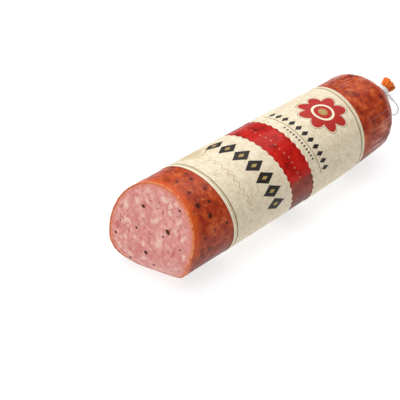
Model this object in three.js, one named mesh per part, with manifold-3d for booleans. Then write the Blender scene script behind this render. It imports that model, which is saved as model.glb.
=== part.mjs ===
// Cured sausage: a length cut open at one end and tied off with string at the other.
// Units are millimetres and +Z is up. Shapes are drawn in the sausage's own axes: X runs along
// the sausage from the middle of the cut face (x = 0) to the tied end, Y runs across it, and
// Z is the height above the sausage's centre line. The whole group is then moved so that the
// origin is under the middle of the object, on the surface that it lies on.
import * as THREE from 'three';
import { mergeVertices } from 'three/addons/utils/BufferGeometryUtils.js';
import Module from 'manifold-3d';

// ---- driving dimensions ----
const CALIBRE = 60; // width across the body
const FLATTENING = 0.94; // height of a section divided by its width
const REST_HEIGHT = 27.3; // centre line above the surface, a little less than the half height
const NECK_X = 195.6; // where the body ends and the gathered neck begins
const NECK_RADIUS = 4.2;
const SHOULDER_X = 178; // where the body starts to close
const DOME_POWER = 2.17; // shape of the closing end: full at the shoulder, blunt at the neck
const DOME_ROUNDING = 0.83;
const NECK_LIFT = 11.6; // the neck sits above the centre line
const NECK_SIDE = -8.1; // and a little to the front side
const NECK_SHIFT_POWER = 1.38;
const TAPER_START_X = 95; // the body narrows slightly towards the tied end
const TAPER_LENGTH = 100;
const TAPER = 0.078;
const TAPER_POWER = 1.5;
const RISE_START_X = 120; // from here the centre line curves up towards the tied end
const RISE = 5; // height gained 100 mm further on, with the square of the distance

// The cut face is x = CUT_SLOPE_Y * y + CUT_SLOPE_Z * z, so its top leans back. Below
// CUT_CURL_START it curls back under too, with the square of the depth.
const CUT_SLOPE_Y = -0.09;
const CUT_SLOPE_Z = 0.379;
const CUT_CURL_START = -6;
const CUT_CURL = 0.032;
const CUT_CURL_TURN = 0.165; // radians: the curl is strongest a little to the -Y side of the bottom

// Depths below the label's outer surface, and the gaps that keep the layers apart.
const GAP = 0.3;
const LABEL_THICKNESS = 0.2;
const CASING_THICKNESS = 0.4;
const CASING_DEPTH = LABEL_THICKNESS + GAP;
const CASING_INSIDE_DEPTH = CASING_DEPTH + CASING_THICKNESS;
const MEAT_DEPTH = CASING_INSIDE_DEPTH + GAP;

// Label edges: x at the centre line, then the slopes with y and z, because it is wrapped askew.
const FRONT_LABEL_START = { x: 32.7, slopeY: -0.09, slopeZ: -0.053 };
const WINDOW_START = { x: 80.7, slopeY: -0.098, slopeZ: -0.156 };
const WINDOW_END = { x: 101.5, slopeY: -0.044, slopeZ: -0.167 };
const REAR_LABEL_END = { x: 155.7, slopeY: 0.11, slopeZ: 0.029 };
const SCALLOP_COUNT = 40;
const SCALLOP_HEIGHT = 0.45;
const RED_BAND_LOW = THREE.MathUtils.degToRad(14.5); // from the front side, towards the top
const RED_BAND_HIGH = THREE.MathUtils.degToRad(121);

// The tie, and the gathered tail of casing beyond it.
const TAIL_DIRECTION = new THREE.Vector3(0.94, 0, 0.345).normalize();
const STRING_DIAMETER = 1;
const GATHER_RADIUS = 2.75; // casing squeezed under the string
const TIE_START = 2.3;
const TIE_TURNS = 2.7;
const TIE_PITCH = 1.15;
const GATHER_START = 1.5; // along the tail direction, from the end of the body
const TAIL_FLARE_START = 6.3;
const TAIL_LENGTH = 11.8;
const TAIL_RADIUS = 5.4;
const TAIL_PLEATS = 8;
const TAIL_PLEAT_DEPTH = 0.12; // as a share of the tail's radius
const TAIL_RIM = 0.8; // thickness of the tail's edge
const TAIL_DISH = 3.2; // depth of the hollow in the tail's open end
const KNOT_OFFSET = 4.6; // knot centre from the neck's centre line
const KNOT_ANGLE = THREE.MathUtils.degToRad(230); // round the neck, from +Y over the top
const KNOT_HALF_SIZES = new THREE.Vector3(1.3, 1.25, 1.15);

// The loop of string that hangs from the knot: a route through points given from the knot's
// centre as [across, down, forward], with the loop hanging square to HANG_FORWARD.
const HANG_ACROSS = new THREE.Vector3(0.711, -0.703, 0);
const HANG_FORWARD = new THREE.Vector3(-0.703, -0.711, 0);
const LOOP_ROUTE = [
  [1.25, 0.8, 0],
  [2.1, 1.75, 0],
  [3.25, 2.65, -0.1],
  [4.5, 3.55, -0.1],
  [5.8, 4.7, 0],
  [7, 6.1, 0.2],
  [8, 7.85, 0.5],
  [8.4, 9.95, 0.7],
  [8, 12, 0.8],
  [6.95, 13.4, 0.8],
  [5.5, 13.75, 0.7],
  [4.1, 12.9, 0.6],
  [3.15, 11.15, 0.5],
  [2.6, 9.05, 0.3],
  [2.2, 6.9, 0.1],
  [1.75, 4.8, 0],
  [1.1, 3, 0],
  [0.4, 1.55, 0],
];
const CUT_END_START = [1.0, -0.9, -1.0]; // the knot's short cut end, beside the loop
const CUT_END_FINISH = [5.1, 4.2, -1.1];

// Facets.
const BODY_SIDES = 64;
const DOME_STEPS = 11;
const LABEL_SIDES = SCALLOP_COUNT * 4;
const STRING_SIDES = 8;

const BODY_RADIUS = CALIBRE / 2;
const wasm = await Module();
wasm.setup();

// ---- the body's outer form ----
function bodyRadius(x) {
  const closing = THREE.MathUtils.clamp((x - SHOULDER_X) / (NECK_X - SHOULDER_X), 0, 1);
  const dome = Math.pow(1 - Math.pow(closing, DOME_POWER), DOME_ROUNDING);
  const along = THREE.MathUtils.clamp((x - TAPER_START_X) / TAPER_LENGTH, 0, 1);
  const narrowing = 1 - TAPER * Math.pow(along, TAPER_POWER);
  return (NECK_RADIUS + (BODY_RADIUS - NECK_RADIUS) * dome) * narrowing;
}

function sectionShift(x) {
  return Math.pow(Math.max(0, 1 - bodyRadius(x) / BODY_RADIUS), NECK_SHIFT_POWER);
}

// A point of the layer that lies `depth` under the outer form, at station x and an angle that
// runs from +Y towards +Z. The underside is pressed flat where it lies on the surface.
function skinPoint(x, angle, depth) {
  const step = 0.05;
  const near = Math.min(x, NECK_X - step);
  const slope = (bodyRadius(near + step) - bodyRadius(near)) / step;
  const length = Math.hypot(1, slope);
  const radius = bodyRadius(x) - depth / length;
  const shift = x > SHOULDER_X ? sectionShift(x) - sectionShift(SHOULDER_X) : 0;
  const rise = RISE * Math.pow(Math.max(0, x - RISE_START_X) / 100, 2);
  const y = NECK_SIDE * shift + radius * Math.cos(angle);
  const z = rise + NECK_LIFT * shift + radius * FLATTENING * Math.sin(angle);
  return new THREE.Vector3(x + depth * slope / length, y, Math.max(z, -REST_HEIGHT + depth));
}

function skinRing(x, depth, sides) {
  const ring = [];
  for (let side = 0; side < sides; side += 1) {
    ring.push(skinPoint(x, 2 * Math.PI * side / sides, depth));
  }
  return ring;
}

function ringCentre(ring) {
  const centre = new THREE.Vector3();
  ring.forEach((point) => centre.add(point));
  return centre.divideScalar(ring.length);
}

// Joins rings of equal length into one skin. An end point closes it on the centre line, and
// with no end points the last ring joins the first.
function loft(rings, startPoint, endPoint) {
  const sides = rings[0].length;
  const positions = rings.flat().flatMap((point) => [point.x, point.y, point.z]);
  const faces = [];
  const closed = startPoint === undefined;
  const spans = closed ? rings.length : rings.length - 1;
  for (let row = 0; row < spans; row += 1) {
    const here = row * sides;
    const there = ((row + 1) % rings.length) * sides;
    for (let side = 0; side < sides; side += 1) {
      const next = (side + 1) % sides;
      faces.push(here + side, here + next, there + next);
      faces.push(here + side, there + next, there + side);
    }
  }
  if (!closed) {
    const start = positions.length / 3;
    const last = (rings.length - 1) * sides;
    positions.push(startPoint.x, startPoint.y, startPoint.z, endPoint.x, endPoint.y, endPoint.z);
    for (let side = 0; side < sides; side += 1) {
      const next = (side + 1) % sides;
      faces.push(start, next, side);
      faces.push(last + side, last + next, start + 1);
    }
  }
  return indexedGeometry(new Float32Array(positions), faces);
}

function indexedGeometry(positions, faces) {
  const geometry = new THREE.BufferGeometry();
  geometry.setAttribute('position', new THREE.BufferAttribute(positions, 3));
  geometry.setIndex(Array.from(faces));
  geometry.computeVertexNormals();
  return geometry;
}

// ---- joins and cuts ----
function toSolid(geometry) {
  const bare = geometry.clone();
  bare.deleteAttribute('normal');
  bare.deleteAttribute('uv');
  const merged = mergeVertices(bare);
  const vertProperties = new Float32Array(merged.attributes.position.array);
  const triVerts = new Uint32Array(merged.index.array);
  return new wasm.Manifold(new wasm.Mesh({ numProp: 3, vertProperties, triVerts }));
}

function toGeometry(solid) {
  const mesh = solid.getMesh();
  return indexedGeometry(new Float32Array(mesh.vertProperties), mesh.triVerts);
}

// Everything in front of the cut face: its profile, drawn across the sausage, then slanted.
function knifeSolid() {
  const size = 2 * CALIBRE;
  const cosine = Math.cos(CUT_CURL_TURN);
  const sine = Math.sin(CUT_CURL_TURN);
  const slopeUp = CUT_SLOPE_Y * sine + CUT_SLOPE_Z * cosine;
  const slopeAcross = CUT_SLOPE_Y * cosine - CUT_SLOPE_Z * sine;
  const profile = new THREE.Shape();
  profile.moveTo(-size, size);
  profile.lineTo(-size, -size);
  for (let height = -CALIBRE / 2; height < CUT_CURL_START; height += 2) {
    profile.lineTo(slopeUp * height + CUT_CURL * Math.pow(CUT_CURL_START - height, 2), height);
  }
  profile.lineTo(slopeUp * size, size);
  const block = new THREE.ExtrudeGeometry(profile, { depth: size, steps: 1, bevelEnabled: false });
  block.translate(0, 0, -size / 2);
  block.rotateX(Math.PI / 2);
  const slant = new THREE.Matrix4().makeShear(0, 0, slopeAcross, 0, 0, 0);
  block.applyMatrix4(slant);
  block.rotateX(-CUT_CURL_TURN);
  return toSolid(block);
}

// ---- stations along the body ----
function bodyStations() {
  const beforeTheCut = -CALIBRE / 2;
  const stations = [beforeTheCut, 60, TAPER_START_X, 120, 145, 165, SHOULDER_X];
  for (let step = 1; step <= DOME_STEPS; step += 1) {
    const share = Math.sin(0.5 * Math.PI * step / DOME_STEPS);
    stations.push(SHOULDER_X + (NECK_X - SHOULDER_X) * share);
  }
  return stations;
}

// ---- sub-parts ----
function meatGeometry() {
  const stations = bodyStations().slice(0, -1);
  const rings = stations.map((x) => skinRing(x, MEAT_DEPTH, BODY_SIDES));
  const solid = toSolid(loft(rings, ringCentre(rings[0]), ringCentre(rings.at(-1))));
  return toGeometry(solid.subtract(knifeSolid()));
}

// A point round the neck or the tail: `along` the tail direction from the end of the body.
function tailPoint(along, radius, angle) {
  const across = new THREE.Vector3(0, 1, 0);
  const upward = new THREE.Vector3().crossVectors(TAIL_DIRECTION, across);
  const point = ringCentre(skinRing(NECK_X, CASING_DEPTH, BODY_SIDES));
  point.addScaledVector(TAIL_DIRECTION, along);
  point.addScaledVector(across, radius * Math.cos(angle));
  return point.addScaledVector(upward, radius * Math.sin(angle));
}

function tailRing(along, radius, pleatDepth) {
  const ring = [];
  for (let side = 0; side < BODY_SIDES; side += 1) {
    const angle = 2 * Math.PI * side / BODY_SIDES;
    const pleated = radius * (1 + pleatDepth * Math.cos(TAIL_PLEATS * angle));
    ring.push(tailPoint(along, pleated, angle));
  }
  return ring;
}

// One thin skin: inside wall, cut edge, outside wall, gathered neck and pleated tail.
function casingGeometry() {
  const stations = bodyStations();
  const inside = stations.map((x) => skinRing(x, CASING_INSIDE_DEPTH, BODY_SIDES)).reverse();
  const outside = stations.map((x) => skinRing(x, CASING_DEPTH, BODY_SIDES));
  const middleFlare = 0.5 * (TAIL_FLARE_START + TAIL_LENGTH);
  const middleRadius = 0.5 * (GATHER_RADIUS + TAIL_RADIUS);
  const tail = [
    tailRing(GATHER_START, GATHER_RADIUS, 0),
    tailRing(TAIL_FLARE_START, GATHER_RADIUS, 0),
    tailRing(middleFlare, middleRadius, TAIL_PLEAT_DEPTH / 2),
    tailRing(TAIL_LENGTH, TAIL_RADIUS, TAIL_PLEAT_DEPTH),
    tailRing(TAIL_LENGTH, TAIL_RADIUS - TAIL_RIM, TAIL_PLEAT_DEPTH),
  ];
  const dishCentre = tailPoint(TAIL_LENGTH - TAIL_DISH, 0, 0);
  const skin = loft([...inside, ...outside, ...tail], ringCentre(inside[0]), dishCentre);
  return toGeometry(toSolid(skin).subtract(knifeSolid()));
}

function edgeX(edge, angle) {
  const y = BODY_RADIUS * Math.cos(angle);
  const z = BODY_RADIUS * FLATTENING * Math.sin(angle);
  return edge.x + edge.slopeY * y + edge.slopeZ * z;
}

function scallop(angle) {
  return SCALLOP_HEIGHT * Math.cos(SCALLOP_COUNT * angle);
}

// A sleeve wrapped round the body between two edges, each given as x for an angle.
function sleeveGeometry(startX, endX, rows) {
  const outside = [];
  const inside = [];
  for (let row = 0; row < rows; row += 1) {
    const share = row / (rows - 1);
    const outerRing = [];
    const innerRing = [];
    for (let side = 0; side < LABEL_SIDES; side += 1) {
      const angle = 2 * Math.PI * side / LABEL_SIDES;
      const x = THREE.MathUtils.lerp(startX(angle), endX(angle), share);
      outerRing.push(skinPoint(x, angle, 0));
      innerRing.push(skinPoint(x, angle, LABEL_THICKNESS));
    }
    outside.push(outerRing);
    inside.unshift(innerRing);
  }
  return loft([...outside, ...inside]);
}

function frontLabelGeometry() {
  const startX = (angle) => edgeX(FRONT_LABEL_START, angle);
  const endX = (angle) => edgeX(WINDOW_START, angle) + scallop(angle);
  return sleeveGeometry(startX, endX, 2);
}

function rearLabelGeometry() {
  const startX = (angle) => edgeX(WINDOW_END, angle) + scallop(angle);
  const endX = (angle) => edgeX(REAR_LABEL_END, angle);
  return sleeveGeometry(startX, endX, 4);
}

// A patch of red film in the window between the two sleeves, on the front and top of the body.
function redBandGeometry() {
  const firstSide = Math.round((Math.PI - RED_BAND_HIGH) / (2 * Math.PI) * LABEL_SIDES);
  const lastSide = Math.round((Math.PI - RED_BAND_LOW) / (2 * Math.PI) * LABEL_SIDES);
  const sections = [];
  for (let side = firstSide; side <= lastSide; side += 1) {
    const angle = 2 * Math.PI * side / LABEL_SIDES;
    const startX = edgeX(WINDOW_START, angle) + scallop(angle) + GAP;
    const endX = edgeX(WINDOW_END, angle) + scallop(angle) - GAP;
    sections.push([
      skinPoint(startX, angle, 0),
      skinPoint(startX, angle, LABEL_THICKNESS),
      skinPoint(endX, angle, LABEL_THICKNESS),
      skinPoint(endX, angle, 0),
    ]);
  }
  return loft(sections, ringCentre(sections[0]), ringCentre(sections.at(-1)));
}

// ---- string ----
function stringAlong(curve, steps) {
  const section = new THREE.Shape();
  for (let side = 0; side < STRING_SIDES; side += 1) {
    const angle = 2 * Math.PI * side / STRING_SIDES;
    const x = 0.5 * STRING_DIAMETER * Math.cos(angle);
    const y = 0.5 * STRING_DIAMETER * Math.sin(angle);
    if (side === 0) {
      section.moveTo(x, y);
    } else {
      section.lineTo(x, y);
    }
  }
  return new THREE.ExtrudeGeometry(section, { steps, bevelEnabled: false, extrudePath: curve });
}

class TieHelix extends THREE.Curve {
  getPoint(share, target = new THREE.Vector3()) {
    const radius = GATHER_RADIUS + GAP + 0.5 * STRING_DIAMETER;
    const turns = TIE_TURNS * share;
    return target.copy(tailPoint(TIE_START + TIE_PITCH * turns, radius, 2 * Math.PI * turns));
  }
}

// The knot sits under the front side of the turns.
function knotCentre() {
  return tailPoint(TIE_START + 0.5 * TIE_PITCH * TIE_TURNS, KNOT_OFFSET, KNOT_ANGLE);
}

// A point beside the knot: across and down in the loop's plane, and forward out of it.
function hangingPoint([across, down, forward]) {
  const point = knotCentre();
  point.addScaledVector(HANG_ACROSS, across);
  point.addScaledVector(HANG_FORWARD, forward);
  point.z -= down;
  return point;
}

function tieGeometry() {
  const turns = toSolid(stringAlong(new TieHelix(), 42));
  const knot = new THREE.SphereGeometry(1, 12, 8);
  knot.scale(KNOT_HALF_SIZES.x, KNOT_HALF_SIZES.y, KNOT_HALF_SIZES.z);
  const centre = knotCentre();
  knot.translate(centre.x, centre.y, centre.z);
  const cutEnd = new THREE.LineCurve3(hangingPoint(CUT_END_START), hangingPoint(CUT_END_FINISH));
  const cutEndSolid = toSolid(stringAlong(cutEnd, 3));
  return toGeometry(turns.add(toSolid(knot)).add(cutEndSolid));
}

function loopGeometry() {
  const route = new THREE.CatmullRomCurve3(LOOP_ROUTE.map(hangingPoint), false, 'centripetal');
  return stringAlong(route, 26);
}

// ---- the object ----
function part(name, geometry, color, roughness) {
  const material = new THREE.MeshStandardMaterial({ color, roughness, metalness: 0 });
  const mesh = new THREE.Mesh(geometry, material);
  mesh.name = name;
  return mesh;
}

const loop = part('string_loop', loopGeometry(), 0xf2efe8, 0.9);
const standing = new THREE.Group();
standing.add(
  part('sausage_meat', meatGeometry(), 0xc9847c, 0.45),
  part('casing', casingGeometry(), 0xa8442a, 0.25),
  part('label_front', frontLabelGeometry(), 0xe8dcc0, 0.5),
  part('label_rear', rearLabelGeometry(), 0xe8dcc0, 0.5),
  part('label_red_band', redBandGeometry(), 0xc01c1e, 0.35),
  part('tie_string', tieGeometry(), 0xf2efe8, 0.9),
);

// The origin is under the middle of everything but the hanging loop.
const box = new THREE.Box3().setFromObject(standing, true);
const middle = box.getCenter(new THREE.Vector3());
const sausage = new THREE.Group();
sausage.add(standing, loop);
sausage.position.set(-middle.x, -middle.y, -box.min.z);

export default sausage;
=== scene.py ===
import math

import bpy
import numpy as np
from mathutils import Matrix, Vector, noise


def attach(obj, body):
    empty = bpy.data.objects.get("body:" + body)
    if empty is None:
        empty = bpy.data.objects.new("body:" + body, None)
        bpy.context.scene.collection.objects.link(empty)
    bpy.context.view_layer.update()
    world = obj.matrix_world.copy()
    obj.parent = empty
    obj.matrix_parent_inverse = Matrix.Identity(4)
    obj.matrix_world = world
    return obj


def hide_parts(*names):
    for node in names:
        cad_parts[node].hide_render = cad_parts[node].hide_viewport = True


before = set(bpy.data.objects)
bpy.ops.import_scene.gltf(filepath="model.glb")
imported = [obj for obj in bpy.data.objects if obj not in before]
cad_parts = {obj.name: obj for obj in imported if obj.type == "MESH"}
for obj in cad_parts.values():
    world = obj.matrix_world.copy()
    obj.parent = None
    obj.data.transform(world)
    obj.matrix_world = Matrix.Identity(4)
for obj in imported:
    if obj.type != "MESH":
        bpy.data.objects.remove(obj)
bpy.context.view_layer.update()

# Cured sausage: cut open at one end, tied with string at the other, in a glossy smoked casing
# with a cream label. Shapes are worked out in millimetres in the sausage's own axes (X along it
# from the middle of the cut face to the tied end, Z above its centre line), and placed in the
# frame, in metres, as each mesh is made.

MM = 0.001

# ---- the form, as in the CAD model (mm) ----
CALIBRE = 60.0
FLATTENING = 0.94
REST_HEIGHT = 27.3
NECK_X = 195.6
NECK_RADIUS = 4.2
SHOULDER_X = 178.0
DOME_POWER = 2.17
DOME_ROUNDING = 0.83
NECK_LIFT = 11.6
NECK_SIDE = -8.1
NECK_SHIFT_POWER = 1.38
TAPER_START_X = 95.0
TAPER_LENGTH = 100.0
TAPER = 0.078
TAPER_POWER = 1.5
RISE_START_X = 120.0
RISE = 5.0
CUT_SLOPE_Y = -0.09
CUT_SLOPE_Z = 0.379
CUT_CURL_START = -6.0
CUT_CURL = 0.032
CUT_CURL_TURN = 0.165  # radians, towards -Y
CUT_INSET = 0.22  # the relief of the cut face stays behind the knife's surface
LABEL_THICKNESS = 0.25
CASING_DEPTH = 0.3
CASING_THICKNESS = 0.4
FRONT_LABEL_START = (32.7, -0.09, -0.053)  # x on the centre line, slope with y, slope with z
WINDOW_START = (80.7, -0.098, -0.156)
WINDOW_END = (101.5, -0.044, -0.167)
REAR_LABEL_END = (155.7, 0.11, 0.029)
SCALLOP_COUNT = 40
SCALLOP_HEIGHT = 0.45
TAIL_DIRECTION = np.array([0.94, 0.0, 0.345]) / math.hypot(0.94, 0.345)
STRING_DIAMETER = 1.0
GATHER_RADIUS = 2.9
TIE_START = 2.4
TIE_TURNS = 3.0
TIE_PITCH = 1.03
TAIL_FLARE_START = 6.1
TAIL_LENGTH = 11.7
TAIL_RADIUS = 5.4
KNOT_ALONG = 3.85
KNOT_OFFSET = 4.6
KNOT_ANGLE = math.radians(230)
HANG_ACROSS = np.array([0.711, -0.703, 0.0])
HANG_FORWARD = np.array([-0.703, -0.711, 0.0])
BODY_RADIUS = CALIBRE / 2

CUT_CENTRE = np.array([-100.53, 0.0, REST_HEIGHT])  # the middle of the cut face, in the frame


# ---- numbers to shapes ----
def body_radius(x):
    """The outer form's radius at each station."""
    closing = np.clip((x - SHOULDER_X) / (NECK_X - SHOULDER_X), 0, 1)
    dome = (1 - closing**DOME_POWER) ** DOME_ROUNDING
    along = np.clip((x - TAPER_START_X) / TAPER_LENGTH, 0, 1)
    narrowing = 1 - TAPER * along**TAPER_POWER
    return (NECK_RADIUS + (BODY_RADIUS - NECK_RADIUS) * dome) * narrowing


def section_shift(x):
    """How far a section's centre has moved towards the neck, from 0 to nearly 1."""
    shift = np.maximum(0, 1 - body_radius(x) / BODY_RADIUS) ** NECK_SHIFT_POWER
    at_shoulder = (1 - body_radius(np.array(SHOULDER_X)) / BODY_RADIUS) ** NECK_SHIFT_POWER
    return np.where(x > SHOULDER_X, shift - at_shoulder, 0)


def skin(x, angle, depth):
    """Points of the layer that lies depth under the outer form."""
    x, angle = np.broadcast_arrays(x, angle)
    step = 0.05
    near = np.minimum(x, NECK_X - step)
    slope = (body_radius(near + step) - body_radius(near)) / step
    length = np.hypot(1, slope)
    radius = body_radius(x) - depth / length
    shift = section_shift(x)
    y = NECK_SIDE * shift + radius * np.cos(angle)
    rise = RISE * (np.maximum(0, x - RISE_START_X) / 100) ** 2
    z = rise + NECK_LIFT * shift + radius * FLATTENING * np.sin(angle)
    return np.stack([x + depth * slope / length, y, np.maximum(z, -REST_HEIGHT + depth)], axis=-1)


def turns(sides):
    """Equal angles round a section."""
    return np.arange(sides) * 2 * math.pi / sides


def tail_point(along, radius, angle):
    """A point round the neck or the tail, along the tail's direction from the body's end."""
    neck = skin(np.array(NECK_X), turns(64), CASING_DEPTH + 0.2).mean(axis=0)
    across = np.array([0.0, 1.0, 0.0])
    upward = np.cross(TAIL_DIRECTION, across)
    along, radius, angle = np.broadcast_arrays(along, radius, angle)
    ahead = along[..., None] * TAIL_DIRECTION
    aside = (radius * np.cos(angle))[..., None] * across
    above = (radius * np.sin(angle))[..., None] * upward
    return neck + ahead + aside + above


def random_field(points, size, seed):
    """Smooth noise from -1 to 1, with lumps about size across."""
    flat = points.reshape(-1, 3) / size + np.array([seed * 7.13, seed * 3.71, seed * 5.57])
    values = [noise.noise(Vector(point)) for point in flat]
    return np.array(values).reshape(points.shape[:-1])


def normals(points, closed_rows=False):
    """Outward unit normals of a grid of points whose columns close on themselves."""
    round_it = np.roll(points, -1, axis=1) - np.roll(points, 1, axis=1)
    if closed_rows:
        along_it = np.roll(points, -1, axis=0) - np.roll(points, 1, axis=0)
    else:
        along_it = np.gradient(points, axis=0)
    crossed = np.cross(round_it, along_it)
    return crossed / np.maximum(np.linalg.norm(crossed, axis=-1, keepdims=True), 1e-9)


# ---- shapes to Blender ----
def make_piece(name, points, faces, material, replaces=()):
    """One closed mesh, in its place, on the body, with its finish."""
    mesh = bpy.data.meshes.new(name)
    placed = (points + CUT_CENTRE) * MM
    mesh.from_pydata(placed.tolist(), [], faces)
    mesh.shade_smooth()
    piece = bpy.data.objects.new(name, mesh)
    bpy.context.scene.collection.objects.link(piece)
    mesh.materials.append(material)
    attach(piece, "root")
    if replaces:
        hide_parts(*replaces)
    return piece


def grid_faces(rows, sides, closed_rows=False, first=0):
    """Quads over a grid of rows whose columns close on themselves, facing out."""
    faces = []
    spans = rows if closed_rows else rows - 1
    for row in range(spans):
        here = first + row * sides
        there = first + ((row + 1) % rows) * sides
        for side in range(sides):
            after = (side + 1) % sides
            faces.append((here + side, here + after, there + after, there + side))
    return faces


def cap_faces(start, sides, centre, facing_back):
    """A fan from a ring to the point that closes it."""
    faces = []
    for side in range(sides):
        after = (side + 1) % sides
        pair = (start + after, start + side) if facing_back else (start + side, start + after)
        faces.append((centre, *pair))
    return faces


def end_caps(rows, sides):
    """Fans on a grid's first and last rings, to the two points that follow the grid."""
    first = cap_faces(0, sides, rows * sides, facing_back=True)
    return first + cap_faces((rows - 1) * sides, sides, rows * sides + 1, facing_back=False)


def put_values(piece, name, values):
    """Stores one number a vertex, for the material to read."""
    layer = piece.data.attributes.new(name, "FLOAT", "POINT")
    layer.data.foreach_set("value", np.asarray(values, dtype=np.float32).ravel())


def put_map(piece, name, grid, sides):
    """Stores a UV map from a grid with one more column than the mesh has."""
    layer = piece.data.uv_layers.new(name=name)
    for polygon in piece.data.polygons:
        rows_and_sides = [divmod(index, sides) for index in polygon.vertices]
        wraps = {side for _, side in rows_and_sides} == {0, sides - 1}
        for loop, (row, side) in zip(polygon.loop_indices, rows_and_sides):
            column = sides if wraps and side == 0 else side
            layer.data[loop].uv = grid[row, column]


# ---- materials ----
class Finish:
    """A node material, built up from its shader backwards."""

    def __init__(self, name):
        self.material = bpy.data.materials.new(name)
        self.material.use_nodes = True
        self.nodes = self.material.node_tree.nodes
        self.links = self.material.node_tree.links
        self.shader = self.nodes["Principled BSDF"]

    def plug(self, socket, value):
        """Links a socket, or sets the number or colour that it stands for."""
        if isinstance(value, bpy.types.NodeSocket):
            self.links.new(value, socket)
        elif socket.type == "RGBA":
            socket.default_value = (*value, 1.0)
        else:
            socket.default_value = value

    def node(self, kind, inputs, **settings):
        """A node of a kind, with its settings made and its inputs linked or set."""
        node = self.nodes.new("ShaderNode" + kind)
        for name, value in settings.items():
            setattr(node, name, value)
        for name, value in inputs.items():
            self.plug(node.inputs[name], value)
        return node

    def done(self, **values):
        """Sets or links the shader's own sockets, whose names have _ for a space here."""
        for name, value in values.items():
            self.plug(self.shader.inputs[name.replace("_", " ")], value)
        return self.material

    def place(self, shift=(0.0, 0.0, 0.0)):
        """The object's own coordinates in millimetres, shifted."""
        coordinates = self.node("TexCoord", {}).outputs["Object"]
        inputs = {"Vector": coordinates, "Scale": (1 / MM, 1 / MM, 1 / MM), "Location": shift}
        return self.node("Mapping", inputs).outputs["Vector"]

    def warped(self, vector, size, amount):
        """Coordinates pushed about by noise, so that shapes lose their straight edges."""
        field = self.node("TexNoise", {"Vector": vector, "Scale": 1 / size, "Detail": 3})
        inputs = {0: field.outputs["Color"], 1: (amount, amount, amount), 2: vector}
        return self.node("VectorMath", inputs, operation="MULTIPLY_ADD").outputs["Vector"]

    def parts(self, vector):
        """The X, Y and Z of a vector."""
        return self.node("SeparateXYZ", {0: vector}).outputs

    def value(self, name):
        """A number that is stored on the mesh."""
        return self.node("Attribute", {}, attribute_name=name).outputs["Fac"]

    def map(self, name):
        """A UV map's two numbers."""
        return self.parts(self.node("UVMap", {}, uv_map=name).outputs["UV"])[:2]

    def noise(self, vector, size, detail=3.0, roughness=0.55, distortion=0.0):
        """Noise with lumps about size millimetres across."""
        inputs = {"Vector": vector, "Scale": 1 / size, "Detail": detail}
        inputs |= {"Roughness": roughness, "Distortion": distortion}
        return self.node("TexNoise", inputs).outputs["Fac"]

    def cells(self, vector, size, output="Distance"):
        """Cells about size millimetres across."""
        return self.node("TexVoronoi", {"Vector": vector, "Scale": 1 / size}).outputs[output]

    def maths(self, operation, *values):
        """One step of arithmetic."""
        return self.node("Math", dict(enumerate(values)), operation=operation).outputs["Value"]

    def add(self, first, second):
        return self.maths("ADD", first, second)

    def less(self, first, second):
        return self.maths("SUBTRACT", first, second)

    def times(self, first, second):
        return self.maths("MULTIPLY", first, second)

    def distance(self, over, up):
        """The length of a step of two parts."""
        return self.maths("SQRT", self.add(self.maths("POWER", over, 2.0), self.maths("POWER", up, 2.0)))

    def between(self, value, low, high):
        """0 at low, 1 at high and smooth between; the other way round if low is above high."""
        inputs = {"Value": value, "From Min": min(low, high), "From Max": max(low, high)}
        inputs |= {"To Min": float(low > high), "To Max": float(low <= high)}
        return self.node("MapRange", inputs, interpolation_type="SMOOTHSTEP").outputs["Result"]

    def stripe(self, value, centre, width, soft=0.12):
        """1 on a line at a distance, 0 off it."""
        offset = self.maths("ABSOLUTE", self.less(value, centre))
        return self.between(offset, width / 2 + soft, width / 2)

    def within(self, value, low, high):
        """1 between two numbers, 0 outside them."""
        return self.times(self.maths("GREATER_THAN", value, low), self.maths("LESS_THAN", value, high))

    def ramp(self, factor, *stops):
        """Maps a number to colours: stops are (position, colour)."""
        node = self.node("ValToRGB", {"Fac": factor})
        points = node.color_ramp.elements
        while len(points) < len(stops):
            points.new(0.5)
        for point, (position, colour) in zip(points, stops):
            point.position = position
            point.color = (*colour, 1.0)
        return node.outputs["Color"]

    def mix(self, factor, first, second):
        """Blends two colours."""
        inputs = {"Factor": factor, 6: first, 7: second}  # 6 and 7 are the colours A and B
        return self.node("Mix", inputs, data_type="RGBA").outputs[2]

    def stain(self, colour, where, strength, paint):
        """Lays a paint over a colour, by a mask and at a strength."""
        return self.mix(self.times(where, strength), colour, paint)

    def bump(self, height, millimetres):
        """Tilts the surface as if height stood that many millimetres proud."""
        inputs = {"Distance": millimetres * MM, "Height": height}
        return self.node("Bump", inputs).outputs["Normal"]


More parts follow.
